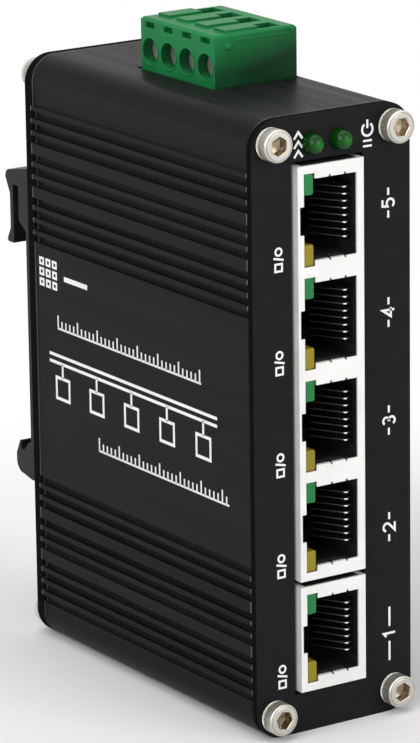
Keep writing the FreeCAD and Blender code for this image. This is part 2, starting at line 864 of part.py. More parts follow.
def pole_cuts(y):
    """What one pole's chamber takes out of the plug."""
    half_cage = cage_width / 2 + cage_gap
    half_entry = cage_width / 2 - cage_side + cage_gap
    cage_high = screw_z + cage_length / 2 + cage_gap
    socket = socket_width / 2 + cage_gap
    pin_hole = pin_size / 2 + 2 * pin_hole_gap
    head_room = plug_left + plug_screw_recess + plug_screw_head
    shank = plug_screw_diameter / 2 + pin_hole_gap
    slot_y = slot_mark_width / 2
    slot_z = plug_top - slot_mark_drop
    over = plug_top + past
    outside = plug_left - past
    return [
        box(pocket_top, cage_bottom + cage_gap, y - half_cage, y + half_cage, cage_low, cage_high),
        box(entry_left, entry_right, y - half_entry, y + half_entry, cage_high - past, over),
        box(pin_x - socket, bar_right + cage_gap, y - socket, y + socket,
            cage_low - socket_shelf - cage_gap, cage_low + past),
        rod(screw_hole_diameter / 2, (outside, y, screw_z), (1, 0, 0), head_room - outside),
        box(head_room - past, pocket_top + past, y - shank, y + shank,
            screw_z - shank, screw_z + shank),
        box(outside, plug_left + slot_mark_depth, y - slot_y, y + slot_y,
            slot_z - slot_mark_height / 2, slot_z + slot_mark_height / 2),
        box(pin_x - socket, pin_x + socket, y - socket, y + socket,
            nose_bottom + nose_floor, cage_low),
        box(pin_x - pin_hole, pin_x + pin_hole, y - pin_hole, y + pin_hole,
            nose_bottom - past, nose_bottom + nose_floor + past),
    ]


def plug_body():
    """The plug's green moulding, with a chamber for each pole."""
    return plug_outside().cut([c for y in pole_middles() for c in pole_cuts(y)])


def plug_socket(y):
    """One pole's metal: a box that grips the pin and a bar that runs up through the cage."""
    half = socket_width / 2
    bottom = nose_bottom + nose_floor + cage_gap
    cage_high = screw_z + cage_length / 2 + cage_gap
    tube = box(pin_x - half, pin_x + half, y - half, y + half, bottom, cage_low)
    shelf = box(pin_x - half, bar_right, y - half, y + half, cage_low - socket_shelf, cage_low)
    bar = box(bar_left, bar_right, y - bar_width / 2, y + bar_width / 2, cage_low - weld, cage_high)
    hole = socket_hole / 2
    bore = box(pin_x - hole, pin_x + hole, y - hole, y + hole, bottom - past,
               header_floor_top + pin_above_floor + pin_tip_gap)
    return fuse_all([tube, shelf, bar]).cut(bore)


def plug_screw(y):
    """A clamp screw: a slotted head in the plug's side and a shank that bears on the bar."""
    head_x = plug_left + plug_screw_recess
    neck_x = head_x + plug_screw_head
    head = rod(plug_screw_head_diameter / 2, (head_x, y, screw_z), (1, 0, 0), plug_screw_head)
    end = bar_left - screw_run_gap
    shank = rod(plug_screw_diameter / 2, (neck_x, y, screw_z), (1, 0, 0), end - neck_x)
    w = plug_slot_width / 2
    slot = box(head_x - past, head_x + plug_slot_depth, y - w, y + w,
               screw_z - plug_screw_head_diameter, screw_z + plug_screw_head_diameter)
    return head.fuse(shank).removeSplitter().cut(slot)


def plug_clamp(y):
    """A cage round the bar. The screw's thread runs in its top wall and draws it up."""
    half = cage_width / 2
    z0 = screw_z - cage_length / 2
    z1 = screw_z + cage_length / 2
    cage = box(cage_top, cage_bottom, y - half, y + half, z0, z1)
    window = box(cage_top + cage_wall, cage_bottom - cage_wall, y - half + cage_side,
                 y + half - cage_side, z0 - past, z1 + past)
    thread = rod(plug_screw_diameter / 2 + screw_run_gap, (cage_top - past, y, screw_z), (1, 0, 0),
                 cage_wall + 2 * past)
    return cage.cut([window, thread])


def build():
    """Every sub-part, by the name of its node."""
    tube, opening = case_tube()
    bank = (bank_rise, bank_height, bank_middles())
    uplink = (uplink_rise, single_height, uplink_middles())
    pieces = {
        "side_shell": side_shell(tube, opening),
        "side_cover": side_cover(tube, opening),
        "front_plate": front_plate(),
        "rear_plate": rear_plate(),
        "front_screws": corner_screws(front_y, -1),
        "rear_screws": corner_screws(rear_y, 1),
        "rail_clip": rail_clip(),
        "clip_screws": clip_screws(),
        "rail_spring": rail_spring(),
        "main_board": main_board(),
        "port_bank_shield": port_shield(*bank),
        "port_bank_insert": port_insert(*bank),
        "port_bank_contacts": port_contacts(bank_middles()),
        "uplink_shield": port_shield(*uplink),
        "uplink_insert": port_insert(*uplink),
        "uplink_contacts": port_contacts(uplink_middles()),
        "link_lamps": port_lamps(1),
        "activity_lamps": port_lamps(-1),
        "speed_lamp": status_lamp(speed_lamp_x),
        "power_lamp": status_lamp(power_lamp_x),
        "lamp_leads": Part.makeCompound([lamp_lead(*start) for start in lead_starts()]),
        "switch_chip": switch_chip(),
        "transformers": transformers(),
        "power_coil": power_coil(),
        "capacitor": capacitor(),
        "crystal": board_box(front_y + chip_from_front, crystal_rise, crystal_length,
                             crystal_width, crystal_height),
        "regulator": board_box(front_y + chip_from_front, regulator_rise, regulator_width,
                               regulator_length, regulator_height),
        "input_fuse": board_box(rear_y - coil_from_rear, fuse_rise, fuse_length, fuse_width,
                                fuse_height),
        "power_header": power_header(),
        "header_pins": header_pins(),
        "plug_body": plug_body(),
        "plug_sockets": Part.makeCompound([plug_socket(y) for y in pole_middles()]),
    }
    for number, y in enumerate(pole_middles(), 1):
        pieces[f"plug_screw_{number}"] = plug_screw(y)
        pieces[f"plug_clamp_{number}"] = plug_clamp(y)
    return pieces


os.makedirs("parts", exist_ok=True)
for name, shape in build().items():
    shape.exportStep(f"parts/{name}.step")
    print(name, len(shape.Solids), "solid(s)", round(shape.Volume, 1), "mm3", shape.isValid())
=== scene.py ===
# %% Start
import json
import math
import bmesh
import bpy
import numpy as np
from mathutils import Matrix, Vector


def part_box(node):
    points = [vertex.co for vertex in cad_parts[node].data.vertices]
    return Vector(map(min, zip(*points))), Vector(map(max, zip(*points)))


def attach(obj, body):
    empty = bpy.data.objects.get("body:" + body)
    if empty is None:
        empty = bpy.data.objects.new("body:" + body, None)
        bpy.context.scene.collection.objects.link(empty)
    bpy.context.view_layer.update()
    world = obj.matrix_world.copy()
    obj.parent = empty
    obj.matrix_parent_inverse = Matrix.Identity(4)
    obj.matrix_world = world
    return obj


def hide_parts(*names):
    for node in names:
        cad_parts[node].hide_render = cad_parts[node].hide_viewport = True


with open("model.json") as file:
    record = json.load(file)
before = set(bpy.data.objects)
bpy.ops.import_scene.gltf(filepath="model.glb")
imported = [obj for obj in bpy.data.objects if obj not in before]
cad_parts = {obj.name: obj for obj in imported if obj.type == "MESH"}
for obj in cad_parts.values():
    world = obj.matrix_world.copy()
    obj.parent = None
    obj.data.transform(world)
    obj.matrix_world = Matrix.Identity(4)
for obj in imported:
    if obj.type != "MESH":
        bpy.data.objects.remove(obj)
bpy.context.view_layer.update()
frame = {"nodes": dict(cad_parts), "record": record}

# %% [markdown]
# ## What this is
# A slim network switch that hangs on a rail. Two black extrusions make its finned case, and a
# flat plate closes each end. The front plate has a column of sideways sockets and two lamps. A
# green terminal plug stands in the top.
#
# So this lesson does three things: it gives every solid a finish made from procedural nodes,
# it swaps the small round parts for finer surfaces worked out with numpy, and it prints plain
# marks on the case. Places are counted from the boxes of the solids.

# %% Sizes read from the solids
MM = 0.001
plate_low, plate_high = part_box("front_plate")
rear_low, rear_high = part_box("rear_plate")
bank_low, bank_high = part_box("port_bank_shield")
uplink_low, uplink_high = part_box("uplink_shield")
front_y = plate_low.y
rear_y = rear_high.y
case_top = plate_high.z
port_height = uplink_high.z - uplink_low.z
bank_ports = 4
port_pitch = (bank_high.z - bank_low.z - port_height) / (bank_ports - 1)
port_middles = [uplink_low.z + port_height / 2]
port_middles += [bank_low.z + port_height / 2 + k * port_pitch for k in range(bank_ports)]
print("socket middles, mm", [round(z * 1000, 2) for z in port_middles])

# %% [markdown]
# ## Helpers for surfaces
# A surface here is a grid of points: rows one way, columns the other. Numpy works out all the
# points at once. The same few functions then join neighbours into four-sided faces, close the
# seams, and turn every face outwards.

# %% Grid, piece and path helpers
def grid_faces(rows, columns, ring=True):
    """Joins each point of a rows x columns grid to its neighbours. A ring also joins the last
    column back to the first."""
    across = np.arange(columns if ring else columns - 1)
    down = np.arange(rows - 1)
    row, column = np.meshgrid(down, across, indexing="ij")
    here, after = row * columns, (column + 1) % columns
    corners = [here + column, here + after, here + columns + after, here + columns + column]
    return np.stack(corners, axis=-1).reshape(-1, 4)


def join_parts(parts):
    """Puts several (points, faces) pairs into one, counting the faces' indices on."""
    points = []
    faces = []
    start = 0
    for part_points, part_faces in parts:
        points.append(part_points)
        faces += [[start + int(i) for i in face] for face in part_faces]
        start += len(part_points)
    return np.concatenate(points), faces


def capped(rows, around):
    """The faces of a tube of rows x around points, with a flat face at each end."""
    ends = [list(range(around)), list(range((rows - 1) * around, rows * around))]
    return grid_faces(rows, around).tolist() + ends


def add_object(name, data):
    """Makes an object and puts it in the scene."""
    made = bpy.data.objects.new(name, data)
    bpy.context.scene.collection.objects.link(made)
    return made


def make_piece(name, parts, material, body, sharp=35.0):
    """Makes one object from (points, faces) pairs: merges doubled points, turns faces outwards,
    and shades it smooth except where two faces meet at more than sharp degrees."""
    points, faces = join_parts(parts)
    mesh = bpy.data.meshes.new(name)
    mesh.from_pydata(points.tolist(), [], faces)
    work = bmesh.new()
    work.from_mesh(mesh)
    bmesh.ops.remove_doubles(work, verts=work.verts, dist=1e-7)
    bmesh.ops.recalc_face_normals(work, faces=work.faces)
    for face in work.faces:
        face.smooth = True
    for edge in work.edges:
        if len(edge.link_faces) == 2 and edge.calc_face_angle() > math.radians(sharp):
            edge.smooth = False
    work.to_mesh(mesh)
    work.free()
    piece = add_object(name, mesh)
    piece.data.materials.append(material)
    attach(piece, body)
    return piece


def sweep(outline, path, side, closed=False):
    """Carries a closed outline along a path in one plane. At each point of the path the
    outline's first coordinate lies across the path and its second along side, the plane's
    normal, and at a bend the outline is stretched by 1 / cos(half the turn)."""
    path = np.asarray(path, float)
    side = np.asarray(side, float)
    outline = np.asarray(outline, float)
    ahead = np.roll(path, -1, axis=0) - path
    behind = path - np.roll(path, 1, axis=0)
    if not closed:
        ahead[-1] = behind[-1]
        behind[0] = ahead[0]
    ahead /= np.linalg.norm(ahead, axis=1, keepdims=True)
    behind /= np.linalg.norm(behind, axis=1, keepdims=True)
    tangent = ahead + behind
    tangent /= np.linalg.norm(tangent, axis=1, keepdims=True)
    across = np.cross(side, tangent)
    stretch = 1 / np.sum(tangent * ahead, axis=1)
    points = (path[:, None, :]
              + outline[None, :, :1] * across[:, None, :] * stretch[:, None, None]
              + outline[None, :, 1:] * side)
    count, around = len(path), len(outline)
    if closed:
        points = np.concatenate([points, points[:1]])
        return points.reshape(-1, 3), grid_faces(count + 1, around).tolist()
    return points.reshape(-1, 3), capped(count, around)


def rounded(path, radius, steps=5):
    """Rounds each inner corner of a path with a short curve that starts and ends radius away
    from the corner, but at most 0.45 of the way to the next point: (1 - t)^2 of the first end,
    2 t (1 - t) of the corner, t^2 of the other."""
    path = np.asarray(path, float)
    t = np.linspace(0, 1, steps)[:, None]
    out = [path[:1]]
    for before, corner, after in zip(path, path[1:], path[2:]):
        start = corner + (before - corner) * min(radius / np.linalg.norm(before - corner), 0.45)
        end = corner + (after - corner) * min(radius / np.linalg.norm(after - corner), 0.45)
        out.append((1 - t) ** 2 * start + 2 * t * (1 - t) * corner + t ** 2 * end)
    out.append(path[-1:])
    return np.concatenate(out)


def round_rows(radii, steps):
    """A table for turned: the same radius all the way round in each row."""
    return np.repeat(np.asarray(radii, float)[:, None], steps, axis=1)


def turned(radius, along, place, outward):
    """A surface turned about an axis that runs along Y through place. radius holds one row per
    height in along and one column per step round the axis: x = r cos a, z = r sin a."""
    rows, steps = radius.shape
    angle = np.linspace(0, 2 * np.pi, steps, endpoint=False)
    x = place[0] + radius * np.cos(angle)
    y = place[1] + outward * np.repeat(np.asarray(along)[:, None], steps, axis=1)
    z = place[2] + radius * np.sin(angle)
    points = np.stack([x, y, z], axis=-1).reshape(-1, 3)
    return points, grid_faces(rows, steps).tolist()


print("helpers ready")

# %% [markdown]
# ## Effects that several finishes share
# Each effect is a shader node group, built once and placed in a material with its own values.
# A group only puts out something that changes over the surface: a mask, a height or a normal.
#
# - *soft edge* rounds the look of a hard edge and finds where it is, by comparing the surface's
#   normal with one averaged over a small radius.
# - *drawn lines* are the long faint marks that a die or a brush leaves in metal.
# - *fine grain* is the even speckle of a blasted, plated or moulded surface.

# %% Node groups
def new_group(name, inputs, outputs):
    """A shader node group with named sockets. Returns it with its two end nodes."""
    group = bpy.data.node_groups.new(name, "ShaderNodeTree")
    for socket, kind, value in inputs:
        made = group.interface.new_socket(name=socket, in_out="INPUT", socket_type=kind)
        if value is not None:
            made.default_value = value
    for socket, kind in outputs:
        group.interface.new_socket(name=socket, in_out="OUTPUT", socket_type=kind)
    return group, group.nodes.new("NodeGroupInput"), group.nodes.new("NodeGroupOutput")


def add_node(tree, kind, values=None, **settings):
    """Adds a node, sets its properties, and fills or links its inputs by name or number."""
    node = tree.nodes.new(kind)
    for key, value in settings.items():
        setattr(node, key, value)
    for key, value in (values or {}).items():
        if isinstance(value, bpy.types.NodeSocket):
            tree.links.new(value, node.inputs[key])
        else:
            node.inputs[key].default_value = value
    return node


def math_node(tree, operation, *values, clamp=False):
    """The result of a Math node. Each value is a socket or a number."""
    return add_node(tree, "ShaderNodeMath", dict(enumerate(values)), operation=operation,
                    use_clamp=clamp).outputs[0]


def noise(tree, vector, scale, detail=2.0):
    """The value of a noise texture."""
    return add_node(tree, "ShaderNodeTexNoise",
                    {"Vector": vector, "Scale": scale, "Detail": detail}).outputs["Fac"]


def soft_edge_group():
    """Mask: 1 minus the dot product of the averaged and the true normal, scaled and broken up
    by noise. Normal: the averaged one, which shows a sharp edge as a rounded one."""
    group, start, end = new_group(
        "soft_edge",
        [("Vector", "NodeSocketVector", None), ("Radius", "NodeSocketFloat", 0.0002),
         ("Wear", "NodeSocketFloat", 4.0)],
        [("Mask", "NodeSocketFloat"), ("Normal", "NodeSocketVector")])
    bevel = add_node(group, "ShaderNodeBevel", {"Radius": start.outputs["Radius"]}, samples=4)
    true = add_node(group, "ShaderNodeNewGeometry")
    dot = add_node(group, "ShaderNodeVectorMath",
                   {0: bevel.outputs["Normal"], 1: true.outputs["Normal"]}, operation="DOT_PRODUCT")
    off = math_node(group, "SUBTRACT", 1.0, dot.outputs["Value"])
    power = math_node(group, "MULTIPLY", off, start.outputs["Wear"])
    breakup = noise(group, start.outputs["Vector"], 900.0, 3.0)
    worn = math_node(group, "MULTIPLY", power, breakup, clamp=True)
    group.links.new(worn, end.inputs["Mask"])
    group.links.new(bevel.outputs["Normal"], end.inputs["Normal"])
    return group


def clouded_noise(group, end, vector, scale, details, coarseness):
    """Height: fine noise. Patch: noise at coarseness times its scale, for clouds in colour and
    sheen."""
    coarse = math_node(group, "MULTIPLY", scale, coarseness)
    group.links.new(noise(group, vector, scale, details[0]), end.inputs["Height"])
    group.links.new(noise(group, vector, coarse, details[1]), end.inputs["Patch"])
    return group


def drawn_lines_group():
    """Noise on coordinates squeezed along the drawing direction, so that its spots become long
    lines."""
    group, start, end = new_group(
        "drawn_lines",
        [("Vector", "NodeSocketVector", None), ("Stretch", "NodeSocketVector", (1.0, 0.01, 1.0)),
         ("Scale", "NodeSocketFloat", 3000.0)],
        [("Height", "NodeSocketFloat"), ("Patch", "NodeSocketFloat")])
    squeezed = add_node(group, "ShaderNodeVectorMath",
                        {0: start.outputs["Vector"], 1: start.outputs["Stretch"]},
                        operation="MULTIPLY")
    return clouded_noise(group, end, squeezed.outputs[0], start.outputs["Scale"], (3.0, 2.0), 0.12)


def fine_grain_group():
    """Noise that is the same in every direction."""
    group, start, end = new_group(
        "fine_grain",
        [("Vector", "NodeSocketVector", None), ("Scale", "NodeSocketFloat", 6000.0)],
        [("Height", "NodeSocketFloat"), ("Patch", "NodeSocketFloat")])
    return clouded_noise(group, end, start.outputs["Vector"], start.outputs["Scale"], (4.0, 3.0),
                         0.03)


soft_edge = soft_edge_group()
drawn_lines = drawn_lines_group()
fine_grain = fine_grain_group()
print("effects", soft_edge.name, drawn_lines.name, fine_grain.name)

# %% [markdown]
# ## One way to make a finish
# Nearly every finish on this object is the same recipe with other values: a colour that clouds
# a little between two shades, a roughness that follows the same clouds, a bump for the texture,
# and a worn colour at the edges. `finish` builds that recipe. The plain constants, such as
# metallic and the strength of a coat, are set on the shader itself.

# %% The finish recipe
def group_node(tree, group, values):
    """Places a shared effect in a material with its own values."""
    return add_node(tree, "ShaderNodeGroup", values, node_tree=group)


def mix_colour(tree, factor, first, second):
    """A Mix node for colours. Each input is a socket or a colour."""
    node = tree.nodes.new("ShaderNodeMix")
    node.data_type = "RGBA"
    for number, value in ((0, factor), (6, first), (7, second)):
        if isinstance(value, bpy.types.NodeSocket):
            tree.links.new(value, node.inputs[number])
        elif number:
            node.inputs[number].default_value = (*value, 1.0)
        else:
            node.inputs[number].default_value = value
    return node.outputs[2]


def map_range(tree, value, start, end, low=0.0, high=1.0, **settings):
    """Maps a value between start and end to low..high, and holds it at low or high outside."""
    return add_node(tree, "ShaderNodeMapRange",
                    {"Value": value, "From Min": start, "From Max": end, "To Min": low,
                     "To Max": high}, **settings).outputs["Result"]


def spread(tree, value, low, high):
    """Maps a noise value, which mostly lies between 0.3 and 0.7, to low..high."""
    return map_range(tree, value, 0.3, 0.7, low, high)


def surface_place(tree):
    """The point on the surface, in the object's own coordinates."""
    return tree.nodes.new("ShaderNodeTexCoord").outputs["Object"]


def axes(tree, vector):
    """The X, Y and Z of a vector, as three sockets."""
    return add_node(tree, "ShaderNodeSeparateXYZ", {"Vector": vector}).outputs


def finish(name, dark, light, rough, metallic=0.0, texture="grain", scale=6000.0,
           stretch=(1.0, 0.01, 1.0), bump=0.1, depth=0.00002, radius=0.00015, wear=3.0,
           worn=None, **shader_values):
    """A material whose colour goes from dark to light and whose roughness goes over the range
    rough with the clouds of its texture. Any other named value is set on the shader."""
    material = bpy.data.materials.new(name)
    material.use_nodes = True
    tree = material.node_tree
    shader = tree.nodes["Principled BSDF"]
    place = surface_place(tree)
    if texture == "lines":
        effect = group_node(tree, drawn_lines, {"Vector": place, "Scale": scale,
                                                "Stretch": stretch})
    else:
        effect = group_node(tree, fine_grain, {"Vector": place, "Scale": scale})
    edge = group_node(tree, soft_edge, {"Vector": place, "Radius": radius, "Wear": wear})
    clouds = spread(tree, effect.outputs["Patch"], 0.0, 1.0)
    colour = mix_colour(tree, clouds, dark, light)
    if worn is not None:
        colour = mix_colour(tree, edge.outputs["Mask"], colour, worn)
    tree.links.new(colour, shader.inputs["Base Color"])
    tree.links.new(spread(tree, effect.outputs["Patch"], *rough), shader.inputs["Roughness"])
    bumped = add_node(tree, "ShaderNodeBump", {"Height": effect.outputs["Height"],
                                               "Normal": edge.outputs["Normal"],
                                               "Strength": bump, "Distance": depth})
    tree.links.new(bumped.outputs["Normal"], shader.inputs["Normal"])
    shader.inputs["Metallic"].default_value = metallic
    for key, value in shader_values.items():
        shader.inputs[key.replace("_", " ")].default_value = value
    return material


def lay_over(material, mask, colour):
    """Lays a colour over the one that the material has, by a mask from 0 to 1."""
    tree = material.node_tree
    base = tree.nodes["Principled BSDF"].inputs["Base Color"]
    tree.links.new(mix_colour(tree, mask, base.links[0].from_socket, colour), base)


print("finish recipe ready")

# %% [markdown]
# ## Black anodised aluminium
# The extrusions are drawn through a die, so their faint lines run from front to back. The
# anodising is a thin dyed layer: dull black, with a soft sheen where light grazes it. Sawing
# the extrusions to length leaves a bright line at the cut ends of the fins. The end plates
# are punched from sheet and have no lines, only a fine grain.

# %% Case finishes
case_black = finish("case_black", (0.006, 0.006, 0.0060), (0.013, 0.013, 0.0128), (0.34, 0.48),
                    texture="lines", scale=2600.0, bump=0.22, depth=0.00003, radius=0.00018,
                    wear=1.6, worn=(0.09, 0.09, 0.088), IOR=1.14)


def bright_cut_ends(material, ends, width):
    """Lays bare metal over the colour within width of the sawn ends: the mask is 1 at an end and
    falls to 0 at width from it, broken up by noise."""
    tree = material.node_tree
    place = surface_place(tree)
    along = axes(tree, place)["Y"]
    masks = []
    for end in ends:
        away = math_node(tree, "ABSOLUTE", math_node(tree, "SUBTRACT", along, end))
        masks.append(map_range(tree, away, 0.0, width, 1.0, 0.0))
    both = math_node(tree, "MAXIMUM", *masks)
    broken = math_node(tree, "MULTIPLY", both, noise(tree, place, 2500.0), clamp=True)
    lay_over(material, broken, (0.30, 0.30, 0.29))


bright_cut_ends(case_black, (plate_high.y, rear_low.y), 0.35 * MM)
plate_black = finish("plate_black", (0.008, 0.008, 0.0082), (0.012, 0.012, 0.0122), (0.45, 0.55),
                     scale=9000.0, bump=0.12, radius=0.00022, wear=1.2, worn=(0.05, 0.05, 0.05),
                     IOR=1.17)


def painted_shade_edges(material):
    """Painted shade on the plate's edges, which are also made rougher: the mask is 1 where the
    surface does not look along Y and 0 where it does, from the size of the normal's Y."""
    tree = material.node_tree
    normal = add_node(tree, "ShaderNodeNewGeometry").outputs["True Normal"]
    facing = math_node(tree, "ABSOLUTE", axes(tree, normal)["Y"])
    mask = map_range(tree, facing, 0.4, 0.8, 1.0, 0.0)
    lay_over(material, mask, (0.002, 0.002, 0.002))
    roughness = tree.nodes["Principled BSDF"].inputs["Roughness"]
    rougher = math_node(tree, "MAXIMUM", roughness.links[0].from_socket, mask)
    tree.links.new(rougher, roughness)


# Painted shade on the edges of the front and rear plates.
painted_shade_edges(plate_black)
clip_black = finish("clip_black", (0.008, 0.008, 0.0082), (0.014, 0.014, 0.0142), (0.34, 0.46),
                    texture="lines", scale=2600.0, stretch=(0.01, 1.0, 1.0), bump=0.22,
                    depth=0.00003, wear=2.5, worn=(0.12, 0.12, 0.118), IOR=1.25)
print("case finishes", case_black.name, plate_black.name, clip_black.name)

# %% [markdown]
# ## Plain metals
# Screws are turned stainless steel, and the shields are tinned sheet that looks almost white
# under a soft light, with painted shade behind their mouths. The sprung contacts are plated wire
# with painted shade: dark inside the sockets, and bright at the folds, partly from rubbing and
# partly as painted light at the mouths.

# %% Metals
screw_steel = finish("screw_steel", (0.52, 0.505, 0.46), (0.68, 0.665, 0.61), (0.30, 0.42),
                     metallic=0.82, scale=4000.0, bump=0.06, radius=0.00006, wear=2.0,
                     worn=(0.92, 0.91, 0.88))
socket_steel = finish("socket_steel", (0.28, 0.22, 0.15), (0.66, 0.57, 0.45), (0.20, 0.36),
                      metallic=1.0, scale=1500.0, bump=0.05, radius=0.00005, wear=1.0)
shield_steel = finish("shield_steel", (0.78, 0.77, 0.755), (0.86, 0.85, 0.835), (0.42, 0.52),
                      metallic=0.35, scale=5000.0, bump=0.05, radius=0.0001, wear=1.0,
                      worn=(0.95, 0.95, 0.94))


def painted_shade_in_mouths(material, depth, low_x, high_x):
    """Painted shade behind the mouths: the tin there is made dark, and rougher. The mask rises
    from 0 at 0.6 of depth behind the face to 1 at depth, and is 0 outside low_x to high_x."""
    tree = material.node_tree
    place = axes(tree, surface_place(tree))
    deep = map_range(tree, place["Y"], bank_low.y + depth * 0.6, bank_low.y + depth)
    between = math_node(tree, "MULTIPLY", math_node(tree, "GREATER_THAN", place["X"], low_x),
                        math_node(tree, "LESS_THAN", place["X"], high_x))
    mask = math_node(tree, "MULTIPLY", deep, between)
    lay_over(material, mask, (0.012, 0.012, 0.012))
    tree.links.new(spread(tree, mask, 0.48, 0.7),
                   tree.nodes["Principled BSDF"].inputs["Roughness"])


# Painted shade on the shields behind the socket mouths.
painted_shade_in_mouths(shield_steel, 0.5 * MM, bank_low.x + 1.0 * MM, bank_high.x - 1.0 * MM)
# The contacts' dark grey colour is painted shade inside the sockets.
contact_gold = finish("contact_gold", (0.055, 0.054, 0.050), (0.10, 0.098, 0.09), (0.32, 0.44),
                      metallic=1.0, scale=3000.0, bump=0.03, radius=0.00003, wear=1.0)


def rubbed_and_lit_folds(material, fold):
    """Bright metal at the folds, partly where plugs rub the contacts and partly painted light at
    the mouths, over the painted shade deeper in: the mask is 1 up to 0.15 mm behind the fold and
    falls smoothly to 0 at 0.6 mm behind it."""
    tree = material.node_tree
    mask = map_range(tree, axes(tree, surface_place(tree))["Y"], fold + 0.15 * MM,
                     fold + 0.6 * MM, 1.0, 0.0, interpolation_type="SMOOTHSTEP")
    lay_over(material, mask, (0.86, 0.83, 0.74))


rubbed_and_lit_folds(contact_gold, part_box("uplink_contacts")[0].y)
tinned_wire = finish("tinned_wire", (0.50, 0.50, 0.485), (0.62, 0.62, 0.60), (0.30, 0.44),
                     metallic=1.0, scale=3000.0, bump=0.06, radius=0.00005, wear=1.0)
spring_steel = finish("spring_steel", (0.38, 0.39, 0.42), (0.52, 0.53, 0.56), (0.24, 0.36),
                      metallic=1.0, texture="lines", scale=3000.0, stretch=(0.01, 1.0, 1.0),
                      bump=0.1, radius=0.00004)
can_metal = finish("can_metal", (0.58, 0.59, 0.60), (0.70, 0.71, 0.72), (0.30, 0.42),
                   metallic=1.0, texture="lines", scale=3000.0, stretch=(0.02, 1.0, 1.0),
                   bump=0.08, radius=0.0002)
print("metals ready")

# %% [markdown]
# ## Plastics
# The socket inserts are fine-textured black. The lamps are tinted plastic. The plug and its
# header are a bright green moulding with a satin skin, and its edges catch the light. The
# plug's front end and its hollows get a painted shade: a darker green, laid over the colour.

# %% Plastics and the board
insert_black = finish("insert_black", (0.006, 0.006, 0.0065), (0.010, 0.010, 0.0105), (0.42, 0.56),
                      scale=5000.0, bump=0.15, radius=0.00008, wear=1.0, worn=(0.04, 0.04, 0.04),
                      IOR=1.45)
part_black = finish("part_black", (0.018, 0.018, 0.02), (0.035, 0.035, 0.037), (0.45, 0.6),
                    scale=4000.0, bump=0.15, radius=0.0001)
plug_green = finish("plug_green", (0.008, 0.175, 0.046), (0.012, 0.215, 0.062), (0.36, 0.48),
                    scale=4500.0, bump=0.10, radius=0.00016, wear=2.2, worn=(0.08, 0.38, 0.17),
                    IOR=1.22)


def painted_shade_end(material, low, high):
    """Painted shade on the front end of the plug: a deeper green laid over as a colour. The mask
    is strongest low down and towards the far side, and falls to 0 at the opposite corner: a sum
    of the shares of the way along X and down Z, kept only where the normal looks forward."""
    tree = material.node_tree
    normal = add_node(tree, "ShaderNodeNewGeometry").outputs["True Normal"]
    forward = map_range(tree, axes(tree, normal)["Y"], -0.5, -0.9)
    place = axes(tree, surface_place(tree))
    across = map_range(tree, place["X"], low.x, high.x, 0.0, 0.5)
    down = map_range(tree, place["Z"], high.z - 1.2 * MM, case_top + 2.0 * MM, 0.0, 0.8)
    both = math_node(tree, "ADD", across, down)
    mask = math_node(tree, "MULTIPLY", both, forward, clamp=True)
    lay_over(material, mask, (0.001, 0.032, 0.009))


def painted_shade_hollows(material, low, high):
    """Painted shade in the plug's hollows, where little light comes back out. The mask follows the
    distance to the nearest outer side, the least of the distances to the five sides that show: 0 up
    to 0.5 mm, the most from 2 mm on, and 0 on the foot that goes into the case."""
    tree = material.node_tree
    place = surface_place(tree)
    from_low = add_node(tree, "ShaderNodeVectorMath", {0: place, 1: tuple(low)},
                        operation="SUBTRACT")
    from_high = add_node(tree, "ShaderNodeVectorMath", {0: tuple(high), 1: place},
                         operation="SUBTRACT")
    first, second = axes(tree, from_low.outputs[0]), axes(tree, from_high.outputs[0])
    least = first["X"]
    for side in (first["Y"], second["X"], second["Y"], second["Z"]):
        least = math_node(tree, "MINIMUM", least, side)
    mask = map_range(tree, least, 0.5 * MM, 2.0 * MM, 0.0, 0.85)
    head = math_node(tree, "GREATER_THAN", axes(tree, place)["Z"], case_top + 0.2 * MM)
    lay_over(material, math_node(tree, "MULTIPLY", mask, head), (0.001, 0.030, 0.008))


# Painted shade on the plug's front end and in its hollows.
painted_shade_end(plug_green, *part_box("plug_body"))
painted_shade_hollows(plug_green, *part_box("plug_body"))
lamp_green = finish("lamp_green", (0.008, 0.15, 0.034), (0.016, 0.24, 0.058), (0.12, 0.20),
                    scale=900.0, bump=0.03, radius=0.00025, wear=1.5, worn=(0.05, 0.42, 0.16),
                    IOR=1.36)
lamp_yellow = finish("lamp_yellow", (0.24, 0.185, 0.006), (0.32, 0.25, 0.010), (0.14, 0.22),
                     scale=900.0, bump=0.03, radius=0.00025, wear=1.5, worn=(0.52, 0.44, 0.08),
                     IOR=1.36)
board_green = finish("board_green", (0.006, 0.060, 0.028), (0.012, 0.095, 0.042), (0.22, 0.32),
                     scale=7000.0, bump=0.04, radius=0.0001, Coat_Weight=0.3)
ink_white = finish("ink_white", (0.80, 0.80, 0.80), (0.90, 0.90, 0.90), (0.45, 0.6),
                   scale=8000.0, bump=0.05, radius=0.00002)


def board_tracks(material):
    """Paler tracks under the board's green mask: the edges of square cells, as thin lines."""
    tree = material.node_tree
    cells = add_node(tree, "ShaderNodeTexVoronoi", {"Vector": surface_place(tree), "Scale": 420.0},
                     distance="CHEBYCHEV", feature="DISTANCE_TO_EDGE")
    line = map_range(tree, cells.outputs["Distance"], 0.02, 0.05, 0.5, 0.0)
    lay_over(material, line, (0.03, 0.20, 0.09))


board_tracks(board_green)
print("plastics ready")

# %% [markdown]
# ## Finishes on the solids
# Each solid names its material slot, and the table gives every slot its finish. The rail
# bracket shares the case's slot, but its own finish has lines that run across it.

